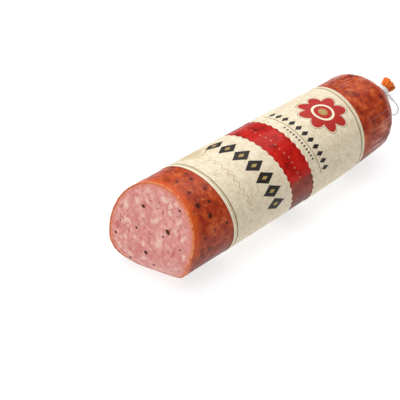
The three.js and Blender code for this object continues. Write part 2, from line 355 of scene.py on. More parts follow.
def meat_finish():
    """Moist, marbled, coarse-ground meat, with an orange rim where the smoke got in."""
    finish = Finish("meat")
    place = finish.warped(finish.place(), 2.0, 1.8)
    kind = finish.ramp(
        finish.cells(place, 3.0, output="Color"),
        (0.0, (0.50, 0.125, 0.108)),
        (0.25, (0.64, 0.215, 0.185)),
        (0.50, (0.71, 0.290, 0.255)),
        (0.72, (0.77, 0.400, 0.350)),
        (1.0, (0.82, 0.510, 0.440)),
    )
    crumbs = finish.cells(finish.warped(finish.place((31, 7, 3)), 1.0, 0.9), 1.2, output="Color")
    speckle = finish.ramp(
        crumbs,
        (0.0, (0.52, 0.130, 0.112)),
        (0.5, (0.70, 0.285, 0.250)),
        (1.0, (0.82, 0.500, 0.435)),
    )
    soft = finish.noise(finish.place((8, 2, 40)), 2.6, detail=4, roughness=0.6)
    marble = finish.ramp(
        soft,
        (0.32, (0.56, 0.150, 0.130)),
        (0.50, (0.72, 0.300, 0.265)),
        (0.66, (0.82, 0.490, 0.430)),
    )
    colour = finish.mix(0.30, kind, speckle)
    colour = finish.mix(0.38, colour, marble)
    grains = finish.cells(finish.warped(finish.place((61, 5, 9)), 1.2, 1.0), 3.6)
    grain_kind = finish.noise(finish.place((1, 71, 9)), 6.0)
    pale = finish.between(grains, 0.42, 0.20)
    pale = finish.times(pale, finish.between(grain_kind, 0.42, 0.60))
    colour = finish.stain(colour, pale, 0.65, (0.85, 0.560, 0.490))
    violet = finish.noise(finish.place((7, 7, 91)), 4.2)
    colour = finish.stain(colour, finish.between(violet, 0.56, 0.68), 0.40, (0.66, 0.300, 0.300))
    broad = finish.noise(finish.place(), 14.0)
    colour = finish.stain(colour, finish.between(broad, 0.44, 0.72), 0.50, (0.60, 0.180, 0.160))
    lean = finish.noise(finish.place((3, 50, 12)), 3.0, detail=4)
    colour = finish.stain(colour, finish.between(lean, 0.55, 0.68), 0.72, (0.46, 0.088, 0.076))
    fat_grain = finish.noise(finish.place(), 0.8)
    uneven = finish.times(finish.less(fat_grain, 0.5), 1.1)
    ragged = finish.add(finish.value("fat"), uneven)
    fat_colour = finish.ramp(fat_grain, (0.35, (0.76, 0.420, 0.350)), (0.65, (0.87, 0.620, 0.520)))
    colour = finish.stain(colour, finish.between(ragged, 0.10, 1.05), 0.9, fat_colour)
    rim = finish.value("rim")
    smoke = finish.add(rim, finish.times(finish.less(soft, 0.5), 4.0))
    colour = finish.stain(colour, finish.between(smoke, 4.2, 0.6), 0.50, (0.68, 0.165, 0.075))
    colour = finish.stain(colour, finish.between(rim, 1.0, 0.2), 0.85, (0.74, 0.215, 0.065))
    grain = finish.noise(finish.place(), 0.55, detail=4, roughness=0.6)
    relief = finish.bump(finish.add(finish.times(crumbs, 0.6), grain), 0.12)
    return finish.done(
        Base_Color=colour,
        Roughness=0.48,
        Normal=relief,
        Subsurface_Weight=0.12,
        Subsurface_Radius=(1.0, 0.35, 0.22),
        Subsurface_Scale=0.8 * MM,
        Specular_IOR_Level=0.30,
        Coat_Weight=0.10,
        Coat_Roughness=0.18,
    )


PEPPER_UNDER_SKIN = [  # along the body, turn from the -Y side over the top (degrees), radius
    (19.3, 68, 1.1),
    (28.9, 63, 1.1),
    (22.3, 35, 1.6),
    (18.4, 51, 1.7),
    (26.1, 49, 1.1),
    (25.7, 101, 1.0),
    (26.9, 81, 1.2),
    (31.3, 18, 1.0),
    (19.5, 87, 1.1),
    (14.4, 15, 0.9),
    (22.4, 18, 0.8),
]

WINDOW_MIDDLE = -12.0  # where the red film's window lies along the body, in the frame
WINDOW_REACH = 13.0  # how far from there the casing is a smooth red
WINDOW_FADE = 16.0
FILM_IOR = 1.38
FILM_ROUGHNESS = 0.12


def pepper_distance(finish):
    """How far each point is from the nearest peppercorn under the skin, in peppercorn sizes."""
    wavy = finish.warped(finish.place(), 1.5, 1.2)
    nearest = None
    for along, turn, size in PEPPER_UNDER_SKIN:
        angle = np.array(math.radians(180 - turn))
        centre = skin(np.array(along), angle, CASING_DEPTH) + CUT_CENTRE
        gap = finish.node("VectorMath", {0: wavy, 1: centre}, operation="DISTANCE")
        reach = finish.maths("DIVIDE", gap.outputs["Value"], size)
        nearest = reach if nearest is None else finish.maths("MINIMUM", nearest, reach)
    return nearest


def casing_finish():
    """Clear glossy film drawn tight over smoked, mottled meat."""
    finish = Finish("casing")
    place = finish.warped(finish.place(), 3.0, 2.4)
    broad = finish.noise(place, 7.5, detail=5, roughness=0.62)
    colour = finish.ramp(
        broad,
        (0.32, (0.085, 0.006, 0.003)),
        (0.42, (0.21, 0.014, 0.004)),
        (0.50, (0.37, 0.034, 0.007)),
        (0.60, (0.50, 0.072, 0.013)),
        (0.72, (0.66, 0.185, 0.050)),
    )
    lumps = finish.ramp(
        finish.cells(place, 3.4, output="Color"),
        (0.0, (0.20, 0.013, 0.005)),
        (0.5, (0.42, 0.046, 0.012)),
        (0.85, (0.58, 0.120, 0.032)),
        (1.0, (0.62, 0.160, 0.070)),
    )
    colour = finish.mix(0.42, colour, lumps)
    patches = finish.noise(finish.warped(finish.place((9, 4, 17)), 2.0, 2.0), 3.6)
    colour = finish.stain(colour, finish.between(patches, 0.56, 0.74), 0.50, (0.74, 0.215, 0.055))
    colour = finish.stain(colour, finish.between(patches, 0.40, 0.28), 0.65, (0.115, 0.009, 0.004))
    spot_place = finish.warped(finish.place((2, 23, 5)), 1.4, 1.1)
    spots = finish.cells(spot_place, 9.5)
    colour = finish.stain(colour, finish.between(spots, 0.34, 0.16), 0.40, (0.17, 0.014, 0.005))
    colour = finish.stain(colour, finish.between(spots, 0.19, 0.11), 0.50, (0.035, 0.008, 0.005))
    pepper = pepper_distance(finish)
    colour = finish.stain(colour, finish.between(pepper, 1.9, 0.9), 0.60, (0.15, 0.012, 0.004))
    colour = finish.stain(colour, finish.between(pepper, 0.95, 0.55), 0.90, (0.020, 0.006, 0.004))
    x, _, z = finish.parts(finish.place())
    # low is the height above the floor, broken up by the mottle; the painted shade on the lower side
    # follows it
    low = finish.add(z, finish.times(broad, 8.0))
    from_window = finish.maths("ABSOLUTE", finish.less(x, WINDOW_MIDDLE))
    wrapped = finish.between(from_window, WINDOW_FADE, WINDOW_REACH)
    colour = finish.stain(colour, wrapped, 0.60, (0.20, 0.016, 0.011))
    # painted shade: the casing is darker towards the bottom, on the side that faces the floor
    colour = finish.stain(colour, finish.between(low, 38.0, 14.0), 0.68, (0.085, 0.012, 0.009))
    edge = finish.value("from_cut")
    glow = finish.add(edge, finish.times(finish.less(broad, 0.5), 18.0))
    colour = finish.stain(colour, finish.between(glow, 6.0, 1.0), 0.75, (0.66, 0.095, 0.014))
    # painted highlight: paler orange-white glints along the film's cut edge next to the face, broken up by
    # noise
    rim_glint_breakup = finish.noise(finish.place((2, 6, 4)), 1.6)
    rim = finish.times(finish.between(edge, 1.0, 0.15), finish.between(rim_glint_breakup, 0.35, 0.60))
    colour = finish.stain(colour, rim, 0.75, (0.85, 0.360, 0.150))
    # pale film on the ridges of the folds: partly the film's own haze where it stands off the meat, partly
    # painted highlight
    haze_and_sheen_breakup = finish.noise(finish.place((5, 5, 5)), 2.4, detail=2)
    fold_haze_and_highlight = finish.between(finish.value("folds"), 0.05, 0.24)
    fold_haze_and_highlight = finish.times(fold_haze_and_highlight, finish.between(haze_and_sheen_breakup, 0.30, 0.52))
    streak = finish.maths("MAXIMUM", fold_haze_and_highlight, finish.value("streaks"))
    shade = finish.between(finish.value("streaks"), 0.0, -1.0)
    # painted shade in the dark streaks near the neck
    colour = finish.stain(colour, shade, 0.55, (0.090, 0.012, 0.008))
    # painted highlight along the pale streaks and the fold ridges
    colour = finish.stain(colour, streak, 0.80, (0.82, 0.50, 0.44))
    tail_colour = finish.ramp(
        finish.noise(finish.place(), 1.6),
        (0.32, (0.74, 0.110, 0.008)),
        (0.60, (0.93, 0.235, 0.022)),
        (0.80, (0.98, 0.340, 0.060)),
    )
    # painted shade: the tail is darker in its folds, inside its flare and at the neck
    tail_colour = finish.mix(finish.value("crease"), tail_colour, (0.26, 0.018, 0.004))
    colour = finish.mix(finish.value("tail"), colour, tail_colour)
    rumple = finish.noise(finish.place(), 1.2)
    relief = finish.add(finish.times(broad, 1.6), finish.times(rumple, 0.6))
    film = finish.add(finish.times(broad, 1.2), finish.times(rumple, 0.8))
    return finish.done(
        Base_Color=colour,
        Roughness=0.5,
        Normal=finish.bump(relief, 0.22),
        Specular_IOR_Level=0.10,
        Coat_Weight=0.26,
        Coat_IOR=FILM_IOR,
        Coat_Roughness=FILM_ROUGHNESS,
        Coat_Normal=finish.bump(film, 0.30),
    )


def label_finish(name, pattern):
    """Cream parchment print, with a plain geometric pattern drawn by a function."""
    finish = Finish(name)
    place = finish.place()
    blotch = finish.noise(place, 4.0, detail=4, roughness=0.65)
    colour = finish.ramp(
        blotch,
        (0.32, (0.680, 0.565, 0.392)),
        (0.50, (0.785, 0.675, 0.500)),
        (0.68, (0.840, 0.750, 0.585)),
    )
    fibre = finish.noise(finish.warped(place, 1.5, 2.0), 1.3, detail=2, distortion=1.5)
    colour = finish.stain(colour, finish.between(fibre, 0.54, 0.66), 0.38, (0.50, 0.40, 0.235))
    colour = finish.stain(colour, finish.between(fibre, 0.44, 0.34), 0.40, (0.90, 0.82, 0.66))
    swirl = finish.noise(finish.warped(place, 4.0, 5.0), 3.2, detail=1, distortion=1.0)
    lines = [finish.stripe(swirl, level, 0.01, soft=0.022) for level in (0.43, 0.54)]
    scroll = finish.maths("MAXIMUM", *lines)
    colour = finish.stain(colour, scroll, 0.42, (0.50, 0.40, 0.245))
    colour = pattern(finish, colour)
    return finish.done(
        Base_Color=colour,
        Roughness=0.5,
        Normal=finish.bump(finish.noise(place, 2.5, detail=2), 0.05),
        Specular_IOR_Level=0.25,
    )


DARK_INK = (0.018, 0.014, 0.012)
GOLD_INK = (0.42, 0.29, 0.09)
DARK_GOLD_INK = (0.16, 0.11, 0.035)
RED_INK = (0.43, 0.020, 0.014)
PALE_EDGE = (0.86, 0.77, 0.58)

# Places on a label: mm round it from the -Y side over the top, and mm along it from its first
# edge. Rows are (first, last, count) round it, and lozenges (size round it, size along it).
FRONT_ROW = (-3.0, 62.0, 7)
FRONT_ROW_ALONG = 34.3
FRONT_ROW_SLANT = -0.086
FRONT_LOZENGE = (8.2, 14.5)
FRONT_LOZENGE_MIDDLE = (2.4, 4.9)
WAVE_ROW = (6.0, 48.0)
WAVE_ALONG = 15.0
WAVE_TURN = 1.3  # radians of the wave a millimetre
WAVE_HEIGHT = 1.1
SEAL_CENTRE = (64.0, 16.5)
SEAL_RADIUS = 9.2
SEAL_DISC_RADIUS = 7.05
REAR_ROW = (3.0, 59.0, 11)
REAR_ROW_ALONG = 11.8
REAR_LOZENGE = (3.4, 6.4)
REAR_RULE = (3.0, 59.0)
REAR_RULE_ALONG = 7.4
REAR_DOTS = (14.0, 42.0, 12)
REAR_DOTS_ALONG = 4.8
REAR_DOT = (1.5, 2.2)
ROSETTE_CENTRE = (37.5, 36.0)
ROSETTE_RADIUS = 17.0
ROSETTE_PETALS = 8
ROSETTE_OUTLINES = ((-0.15, 0.15, DARK_GOLD_INK), (0.35, 0.6, PALE_EDGE), (1.0, 1.3, RED_INK))
ROSETTE_RINGS = ((7.25, PALE_EDGE), (5.75, RED_INK), (2.85, GOLD_INK))


def edge_lines(finish, colour, distance):
    """A pale margin, then a gold line and a dark one, along an outer edge."""
    colour = finish.stain(colour, finish.between(distance, 1.7, 1.3), 0.8, PALE_EDGE)
    colour = finish.stain(colour, finish.stripe(distance, 1.75, 0.30), 0.85, GOLD_INK)
    return finish.mix(finish.stripe(distance, 2.9, 0.55), colour, DARK_GOLD_INK)


def window_margin(finish, colour, distance):
    """A pale margin along a scalloped edge."""
    return finish.stain(colour, finish.between(distance, 1.0, 0.5), 0.6, PALE_EDGE)


def lozenges(finish, colour, around, across, row, size, ink):
    """A row of lozenges round the label."""
    first, last, count = row
    width, height = size
    pitch = (last - first) / count
    steps = finish.maths("DIVIDE", finish.less(around, first), pitch)
    beside = finish.maths("ABSOLUTE", finish.less(finish.maths("FRACT", steps), 0.5))
    sideways = finish.maths("DIVIDE", beside, 0.5 * width / pitch)
    endways = finish.maths("DIVIDE", finish.maths("ABSOLUTE", across), 0.5 * height)
    shape = finish.between(finish.add(sideways, endways), 1.05, 0.97)
    return finish.stain(colour, shape, finish.within(around, first, last), ink)


def disc(finish, reach, radius):
    """1 inside a radius, 0 outside it."""
    return finish.between(reach, radius + 0.15, radius - 0.15)


def front_pattern(finish, colour):
    """Edge lines, a row of tall dark lozenges, a gold wave and a plain gold disc in a ring."""
    around, along = finish.map("wrap")
    from_start, from_end = finish.map("edges")
    colour = edge_lines(finish, colour, from_start)
    colour = window_margin(finish, colour, from_end)
    slanted = finish.maths("MULTIPLY_ADD", around, -FRONT_ROW_SLANT, along)
    across = finish.less(slanted, FRONT_ROW_ALONG)
    for size, ink in ((FRONT_LOZENGE, DARK_INK), (FRONT_LOZENGE_MIDDLE, GOLD_INK)):
        colour = lozenges(finish, colour, around, across, FRONT_ROW, size, ink)
    wave = finish.times(finish.maths("SINE", finish.times(around, WAVE_TURN)), WAVE_HEIGHT)
    line = finish.stripe(finish.less(along, wave), WAVE_ALONG, 0.55)
    colour = finish.stain(colour, line, finish.times(finish.within(around, *WAVE_ROW), 0.7), GOLD_INK)
    reach = finish.distance(finish.less(around, SEAL_CENTRE[0]), finish.less(along, SEAL_CENTRE[1]))
    colour = finish.stain(colour, finish.stripe(reach, SEAL_RADIUS, 0.8), 0.8, GOLD_INK)
    return finish.stain(colour, disc(finish, reach, SEAL_DISC_RADIUS), 0.5, GOLD_INK)


def rear_pattern(finish, colour):
    """Edge lines, rows of dark lozenges, a thin rule and a plain rosette."""
    around, along = finish.map("wrap")
    from_start, from_end = finish.map("edges")
    colour = edge_lines(finish, colour, from_end)
    colour = window_margin(finish, colour, from_start)
    row = finish.less(along, REAR_ROW_ALONG)
    colour = lozenges(finish, colour, around, row, REAR_ROW, REAR_LOZENGE, DARK_INK)
    dots = finish.less(along, REAR_DOTS_ALONG)
    colour = lozenges(finish, colour, around, dots, REAR_DOTS, REAR_DOT, DARK_INK)
    rule = finish.stripe(along, REAR_RULE_ALONG, 0.35)
    colour = finish.stain(colour, rule, finish.within(around, *REAR_RULE), DARK_GOLD_INK)
    over, up = finish.less(around, ROSETTE_CENTRE[0]), finish.less(along, ROSETTE_CENTRE[1])
    reach, bearing = finish.distance(over, up), finish.maths("ARCTAN2", over, up)
    petals = finish.maths("ABSOLUTE", finish.maths("SINE", finish.times(bearing, ROSETTE_PETALS / 2)))
    outline = finish.maths("MULTIPLY_ADD", petals, ROSETTE_RADIUS * 0.30, ROSETTE_RADIUS * 0.70)
    inset = finish.less(outline, reach)
    for low, high, ink in ROSETTE_OUTLINES:
        colour = finish.mix(finish.between(inset, low, high), colour, ink)
    for radius, ink in ROSETTE_RINGS:
        colour = finish.mix(disc(finish, reach, radius), colour, ink)
    return colour


RED_DOT_PITCH = 3.6
RED_DOTS_ALONG = 9.0


def red_band_finish():
    """Red film, a little see-through, over the mottled casing, with a row of small pale dots."""
    finish = Finish("red_band")
    place = finish.warped(finish.place(), 3.0, 2.0)
    under = finish.noise(place, 7.0, detail=4)
    colour = finish.ramp(
        under,
        (0.30, (0.22, 0.004, 0.002)),
        (0.50, (0.45, 0.008, 0.004)),
        (0.70, (0.58, 0.018, 0.010)),
    )
    spots = finish.cells(finish.place((2, 23, 5)), 9.0)
    colour = finish.stain(colour, finish.between(spots, 0.26, 0.12), 0.6, (0.10, 0.004, 0.003))
    around, along = finish.map("wrap")
    steps = finish.maths("FRACT", finish.maths("DIVIDE", around, RED_DOT_PITCH))
    beside = finish.times(finish.less(steps, 0.5), RED_DOT_PITCH)
    reach = finish.distance(beside, finish.less(along, RED_DOTS_ALONG))
    colour = finish.stain(colour, finish.between(reach, 0.75, 0.45), 0.5, (0.72, 0.30, 0.22))
    return finish.done(
        Base_Color=colour,
        Roughness=0.42,
        Normal=finish.bump(under, 0.14),
        Specular_IOR_Level=0.08,
        Coat_Weight=0.20,
        Coat_IOR=FILM_IOR,
        Coat_Roughness=FILM_ROUGHNESS,
    )


def pepper_finish():
    """Broken black pepper, wet with fat."""
    finish = Finish("pepper")
    grain = finish.noise(finish.place(), 0.5)
    colour = finish.ramp(grain, (0.3, (0.030, 0.008, 0.005)), (0.7, (0.110, 0.030, 0.018)))
    return finish.done(
        Base_Color=colour,
        Roughness=0.6,
        Normal=finish.bump(grain, 0.08),
        Specular_IOR_Level=0.12,
        Coat_Weight=0.05,
        Coat_Roughness=0.3,
    )


def string_finish():
    """White cotton, with painted shade in the grooves between the plies."""
    finish = Finish("string")
    fibre = finish.noise(finish.place(), 0.25)
    groove = finish.value("groove")
    colour = finish.ramp(fibre, (0.3, (0.84, 0.835, 0.82)), (0.7, (0.92, 0.92, 0.91)))
    # painted shade: darker in the grooves between the plies
    colour = finish.stain(colour, groove, 0.30, (0.62, 0.60, 0.585))
    return finish.done(
        Base_Color=colour,
        Roughness=0.85,
        Normal=finish.bump(fibre, 0.05),
        Sheen_Weight=0.3,
        Sheen_Roughness=0.5,
    )


FLOOR_GLOW = 0.78
FLOOR_DARKENING = 0.7  # the share of black under the glow, which keeps shadows faint


def floor_finish():
    """Plain pale studio floor, lit a little from below so that shadows stay faint."""
    finish = Finish("floor")
    shade = finish.noise(finish.place(), 400.0)
    white = finish.ramp(shade, (0.0, (0.98, 0.98, 0.98)), (1.0, (1.0, 1.0, 1.0)))
    return finish.done(
        Base_Color=finish.mix(FLOOR_DARKENING, white, (0.0, 0.0, 0.0)),
        Roughness=0.8,
        Specular_IOR_Level=0.0,
        Emission_Color=white,
        Emission_Strength=FLOOR_GLOW,
    )


# ---- camera ----
CAMERA_FROM_CUT = np.array([-280.2, -322.2, 333.9])  # from the middle of the cut face
CAMERA_HEADING = math.radians(45.31)  # from +X towards +Y
CAMERA_DOWN = math.radians(36.02)
FOCAL_LENGTH = 89.1
SENSOR_WIDTH = 36.0


def add_camera():
    camera = bpy.data.objects.new("camera", bpy.data.cameras.new("camera"))
    bpy.context.scene.collection.objects.link(camera)
    camera.data.lens = FOCAL_LENGTH
    camera.data.sensor_width = SENSOR_WIDTH
    camera.data.clip_start = 0.01
    heading = Vector((math.cos(CAMERA_HEADING), math.sin(CAMERA_HEADING), 0))
    ahead = math.cos(CAMERA_DOWN) * heading - Vector((0, 0, math.sin(CAMERA_DOWN)))
    right = Vector((math.sin(CAMERA_HEADING), -math.cos(CAMERA_HEADING), 0))
    turn = Matrix((right, right.cross(ahead), -ahead)).transposed()
    where = Vector((CAMERA_FROM_CUT + CUT_CENTRE) * MM)
    camera.matrix_world = Matrix.Translation(where) @ turn.to_4x4()
    bpy.context.scene.camera = camera


# ---- string ----
LOOP_ROUTE = [  # across, down and forward from the knot's centre
    (1.25, 0.8, 0),
    (2.1, 1.75, 0),
    (3.25, 2.65, -0.1),
    (4.5, 3.55, -0.1),
    (5.8, 4.7, 0),
    (7, 6.1, 0.2),
    (8, 7.85, 0.5),
    (8.4, 9.95, 0.7),
    (8, 12, 0.8),
    (6.95, 13.4, 0.8),
    (5.5, 13.75, 0.7),
    (4.1, 12.9, 0.6),
    (3.15, 11.15, 0.5),
    (2.6, 9.05, 0.3),
    (2.2, 6.9, 0.1),
    (1.75, 4.8, 0),
    (1.1, 3, 0),
    (0.4, 1.55, 0),
]
CUT_END_ROUTE = [(0.6, -0.9, -0.6), (1.6, -0.3, -1.0), (3.1, 1.5, -1.1), (4.3, 3.1, -1.1), (5.2, 4.4, -1.0)]


def knot_centre():
    return tail_point(KNOT_ALONG, KNOT_OFFSET, KNOT_ANGLE)


def hanging(route):
    """Points beside the knot: across and down in the loop's plane, and forward out of it."""
    route = np.array(route, dtype=float)
    across = route[:, :1] * HANG_ACROSS
    down = route[:, 1:2] * np.array([0.0, 0.0, -1.0])
    forward = route[:, 2:] * HANG_FORWARD
    return knot_centre() + across + down + forward


def smooth_line(points, steps_between):
    """A centripetal Catmull-Rom curve through the points."""
    before = 2 * points[:1] - points[1:2]
    beyond = 2 * points[-1:] - points[-2:-1]
    padded = np.vstack([before, points, beyond])
    line = []
    for span in range(len(points) - 1):
        a, b, c, d = padded[span : span + 4]
        ta = 0.0
        tb = ta + math.sqrt(np.linalg.norm(b - a))
        tc = tb + math.sqrt(np.linalg.norm(c - b))
        td = tc + math.sqrt(np.linalg.norm(d - c))
        for step in range(steps_between):
            t = tb + (tc - tb) * step / steps_between
            ab = (tb - t) / (tb - ta) * a + (t - ta) / (tb - ta) * b
            bc = (tc - t) / (tc - tb) * b + (t - tb) / (tc - tb) * c
            cd = (td - t) / (td - tc) * c + (t - tc) / (td - tc) * d
            abc = (tc - t) / (tc - ta) * ab + (t - ta) / (tc - ta) * bc
            bcd = (td - t) / (td - tb) * bc + (t - tb) / (td - tb) * cd
            line.append((tc - t) / (tc - tb) * abc + (t - tb) / (tc - tb) * bcd)
    line.append(points[-1])
    return np.array(line)


PLY_COUNT = 3
PLY_PITCH = 3.2
STRING_SIDES = 18
KNOT_SIZE = 0.46  # a trefoil's lobes reach three times this far from its middle
KNOT_DEPTH = 0.52


def twine(name, line, diameter, material, closed=False, replaces=(), frayed_end=False):
    """Twisted string along a line: three plies that wind round each other."""
    count = len(line)
    if closed:
        tangents = np.roll(line, -1, axis=0) - np.roll(line, 1, axis=0)
    else:
        tangents = np.gradient(line, axis=0)
    tangents /= np.linalg.norm(tangents, axis=1, keepdims=True)
    lengths = np.concatenate([[0], np.cumsum(np.linalg.norm(np.diff(line, axis=0), axis=1))])
    side = np.cross(tangents[0], [0.31, 0.17, 0.94])
    side /= np.linalg.norm(side)
    rings, groove_shades = [], []
    whole_turns = max(1, round(lengths[-1] / PLY_PITCH))
    for index in range(count):
        side = side - side.dot(tangents[index]) * tangents[index]
        side /= np.linalg.norm(side)
        other = np.cross(tangents[index], side)
        angle = turns(STRING_SIDES)
        twist = 2 * math.pi * whole_turns * lengths[index] / lengths[-1]
        lobes = np.abs(np.cos(0.5 * PLY_COUNT * (angle - twist)))
        swell = 1.0
        if frayed_end:
            swell = 1.0 + 0.35 * max(0.0, 1 - (lengths[-1] - lengths[index]) / 1.2)
        radius = 0.5 * diameter * swell * (0.84 + 0.16 * lobes)
        outward = np.cos(angle)[:, None] * side + np.sin(angle)[:, None] * other
        rings.append(line[index] + radius[:, None] * outward)
        # painted shade, deepest in the grooves between the plies
        groove_shades.append((1 - lobes) ** 2)
    points = np.vstack(rings)
    groove_shade_values = np.concatenate(groove_shades)
    faces = grid_faces(count, STRING_SIDES, closed_rows=closed)
    if not closed:
        points = np.vstack([points, line[:1], line[-1:]])
        groove_shade_values = np.append(groove_shade_values, [0.5, 0.5])
        faces += end_caps(count, STRING_SIDES)
    piece = make_piece(name, points, faces, material, replaces)
    put_values(piece, "groove", groove_shade_values)
    return piece


def add_string():
    material = string_finish()
    loop_line = smooth_line(hanging(LOOP_ROUTE), 6)
    loop = twine("hanging_loop", loop_line, STRING_DIAMETER, material, replaces=["string_loop"])
    turned = TIE_TURNS * np.linspace(0, 1, 150)
    along = TIE_START + TIE_PITCH * turned
    wound = tail_point(along, GATHER_RADIUS + 0.45, 2 * math.pi * turned + 1.2)
    twine("string_turns", wound, STRING_DIAMETER, material, replaces=["tie_string"])
    around = np.linspace(0, 2 * math.pi, 120, endpoint=False)
    reach = 2 + np.cos(3 * around)
    outward = knot_centre() - tail_point(KNOT_ALONG, 0.0, 0.0)
    outward /= np.linalg.norm(outward)
    sideways = np.cross(outward, TAIL_DIRECTION)
    knot_line = (
        knot_centre()
        + KNOT_SIZE * (reach * np.cos(2 * around))[:, None] * TAIL_DIRECTION
        + KNOT_SIZE * (reach * np.sin(2 * around))[:, None] * sideways
        + KNOT_DEPTH * np.sin(3 * around)[:, None] * outward
    )
    twine("string_knot", knot_line, STRING_DIAMETER * 0.95, material, closed=True)
    cut_end = smooth_line(hanging(CUT_END_ROUTE), 8)
    twine("string_cut_end", cut_end, STRING_DIAMETER, material, frayed_end=True)


# ---- sausage ----
BODY_SIDES = 320
LABEL_SIDES = 480
PLEAT_COUNT = 26
SMOOTH_SIDE_ANGLE = math.radians(125)  # where the gathered folds are shortest
SHORT_PLEAT = 8.0
LONG_PLEAT = 46.0
STREAK_STRETCH = 0.13  # the streaks run this much slower along the body than round it


def cut_x(y, z):
    """Where the cut face lies: it leans back, and curls back under at the bottom."""
    height = z * math.cos(CUT_CURL_TURN) + y * math.sin(CUT_CURL_TURN)
    curl = CUT_CURL * np.maximum(0, CUT_CURL_START - height) ** 2
    return CUT_SLOPE_Y * y + CUT_SLOPE_Z * z + curl + CUT_INSET


FAT_PIECES = [  # y, z, half length, half width (mm) and turn (degrees) on the cut face
    (-1, 9, 3.0, 1.9, -35),
    (-7, -2, 2.8, 2.5, 70),
    (-8, 19.5, 1.7, 1.5, 0),
    (-9, 16, 1.5, 1.3, 20),
    (14, 14, 2.0, 1.5, 40),
    (21, 9.5, 2.4, 1.5, 60),
    (18, 1.5, 2.6, 1.4, -25),
    (-16.5, 14, 2.0, 1.4, -40),
    (-21.5, 7, 1.9, 1.1, -60),
    (-25, -2, 1.9, 1.3, 80),
    (8, 17, 1.5, 1.2, 0),
    (-3, 21.5, 2.4, 1.4, 10),
    (16, -7, 1.5, 1.1, 60),
    (10, -5, 1.3, 0.9, 30),
    (8, 8, 2.0, 0.8, 5),
    (-11.5, 22, 1.4, 1.1, 0),
    (-15, 8.5, 1.5, 1.1, 0),
    (-20.5, -12, 2.0, 1.2, -30),
    (-15.5, -10.5, 1.6, 0.9, -50),
    (3, -6, 1.4, 1.1, 30),
    (2, -15, 2.2, 1.2, -10),
    (12, -16, 2.0, 1.3, 30),
    (-8, -20, 2.1, 1.2, -15),
    (6, -23, 1.5, 1.0, 0),
    (19, -14, 1.6, 1.0, 50),
]
PEPPER_SWELL = 1.3
FLECK_DEPTH = 0.25  # a fleck's half thickness, as a share of its half size
PEPPER_FLECKS = [  # y, z and half size (mm) on the cut face
    (9.5, 12.5, 1.15),
    (-10.5, 6, 1.35),
    (10.5, 0, 0.8),
    (-14.5, 19.5, 0.75),
    (22.5, -0.5, 0.55),
    (23.5, -8, 0.8),
    (-8.3, 2.5, 0.6),
    (0.5, -10.5, 1.0),
    (-21.3, 0.5, 0.6),
    (4, 19, 0.4),
    (-4, -17, 0.8),
    (13, -20, 0.9),
    (-16, -16, 0.5),
]


def fat_share(points):
    """How fatty the meat is at each point: 1 in the middle of a piece of fat."""
    wander = 1.1
    y = points[..., 1] + wander * random_field(points, 2.1, 3)
    z = points[..., 2] + wander * random_field(points, 2.1, 4)
    share = np.zeros(points.shape[:-1])
    for centre_y, centre_z, half_length, half_width, turn in FAT_PIECES:
        cosine, sine = math.cos(math.radians(turn)), math.sin(math.radians(turn))
        along = (y - centre_y) * cosine + (z - centre_z) * sine
        aside = (z - centre_z) * cosine - (y - centre_y) * sine
        distance = np.hypot(along / half_length, aside / half_width)
        share = np.maximum(share, np.clip(1.5 - distance, 0, 1))
    return share


def add_meat():
    """The cut face in fine relief, then the sides and the end, which the casing covers."""
    sides = 288
    angle = turns(sides)
    depth = CASING_DEPTH + CASING_THICKNESS + 0.05
    edge = skin(np.zeros(sides), angle, depth)
    face_rows = []
    shares = np.linspace(0.006, 1.0, 150)
    for share in shares:
        ring = edge.copy()
        ring[:, 1:] *= share
        ring[:, 0] = cut_x(ring[:, 1], ring[:, 2])
        face_rows.append(ring)
    face = np.array(face_rows)
    fat = fat_share(face)
    uneven = 0.16 * random_field(face, 9.0, 1) + 0.07 * random_field(face, 2.4, 2)
    uneven += 0.035 * random_field(face, 0.9, 5)
    rounding = 0.45 * np.clip((shares - 0.975) / 0.025, 0, 1) ** 2
    face[..., 0] += uneven - 0.06 * fat + rounding[:, None]
    stations = np.concatenate([np.linspace(6, 170, 24), np.linspace(176, NECK_X - 1.5, 14)])
    lean = edge[:, 0] + cut_x(edge[:, 1], edge[:, 2])
    side_rows = []
    for station in stations:
        x = np.full(sides, station) + lean * max(0, 1 - station / 40)
        side_rows.append(skin(x, angle, depth))
    rows = np.concatenate([face, np.array(side_rows)])
    points = np.vstack([rows.reshape(-1, 3), face[0].mean(axis=0), side_rows[-1].mean(axis=0)])
    faces = grid_faces(len(rows), sides) + end_caps(len(rows), sides)
    piece = make_piece("cut_meat", points, faces, meat_finish(), ["sausage_meat"])
    fat_all = np.zeros(len(points))
    fat_all[: fat.size] = fat.ravel()
    put_values(piece, "fat", fat_all)
    rim = np.repeat((1 - shares) * (BODY_RADIUS - depth), sides)
    rim_all = np.zeros(len(points))
    rim_all[: rim.size] = rim
    rim_all[-2] = BODY_RADIUS
    put_values(piece, "rim", rim_all)


def add_pepper():
    """Broken peppercorns cut through by the knife, set in the face."""
    material = pepper_finish()
    points, faces = [], []
    sides, rows = 12, 7
    for number, (y, z, half_size) in enumerate(PEPPER_FLECKS):
        half_size = PEPPER_SWELL * half_size
        centre = np.array([cut_x(y, z) + 0.15, y, z])
        first = len(points)
        for row in range(1, rows):
            polar = math.pi * row / rows
            for angle in turns(sides):
                across, up = math.sin(polar) * math.cos(angle), math.sin(polar) * math.sin(angle)
                direction = np.array([FLECK_DEPTH * math.cos(polar), across, up])
                jitter = 1 + 0.35 * noise.noise(Vector(direction * 1.7) + Vector((number * 5.3, 0, 0)))
                points.append(centre + half_size * jitter * direction)
        near_pole = len(points)
        points.append(centre + np.array([FLECK_DEPTH * half_size, 0, 0]))
        points.append(centre - np.array([FLECK_DEPTH * half_size, 0, 0]))
        last_ring = first + (rows - 2) * sides
        fleck = grid_faces(rows - 1, sides, first=first)
        fleck += cap_faces(first, sides, near_pole, facing_back=True)
        fleck += cap_faces(last_ring, sides, near_pole + 1, facing_back=False)
        faces += [face[::-1] for face in fleck]
    make_piece("pepper_flecks", np.array(points), faces, material)


